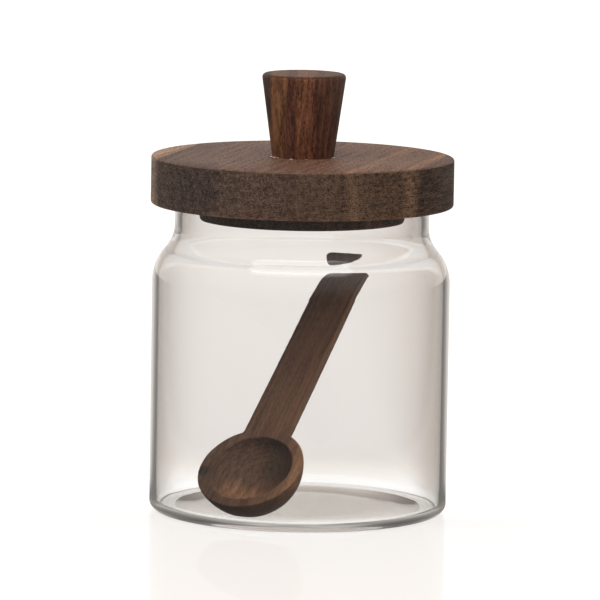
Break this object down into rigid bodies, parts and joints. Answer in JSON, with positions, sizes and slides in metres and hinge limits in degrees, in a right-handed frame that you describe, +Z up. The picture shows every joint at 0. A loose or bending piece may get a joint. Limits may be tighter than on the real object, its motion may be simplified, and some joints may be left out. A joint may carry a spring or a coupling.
{
  "type": "jam pot",
  "caption": "Round clear glass jam pot with a stepped neck, a turned wooden lid with a tapered knob that drops into the neck, and a wooden spoon leaning inside.",
  "frame": {"origin": "middle of the base, on the surface that the pot stands on", "axes": "+Z up along the jar's axis, front towards -Y, +X to the right seen from the front"},
  "size_m": [0.095, 0.095, 0.1381],
  "materials": {
    "glass": "clear, fire polished",
    "lid_wood": "oiled, satin, open pores",
    "knob_wood": "oiled, satin",
    "dowel_wood": "bare",
    "spoon_wood": "oiled, satin"
  },
  "bodies": {
    "jar": {"jar": "glass"},
    "lid": {"lid": "lid_wood", "knob": "knob_wood", "knob_dowel": "dowel_wood"},
    "spoon": {"spoon": "spoon_wood"}
  },
  "joints": [
    {"name": "lid_lift", "type": "slide", "parent": "jar", "child": "lid", "axis": [0, 0, 1], "range_m": [0, 0.12]},
    {"name": "spoon_round", "type": "hinge", "parent": "jar", "child": "spoon", "pos_m": [0, 0, 0.002], "axis": [0, 0, 1], "continuous": true}
  ]
}
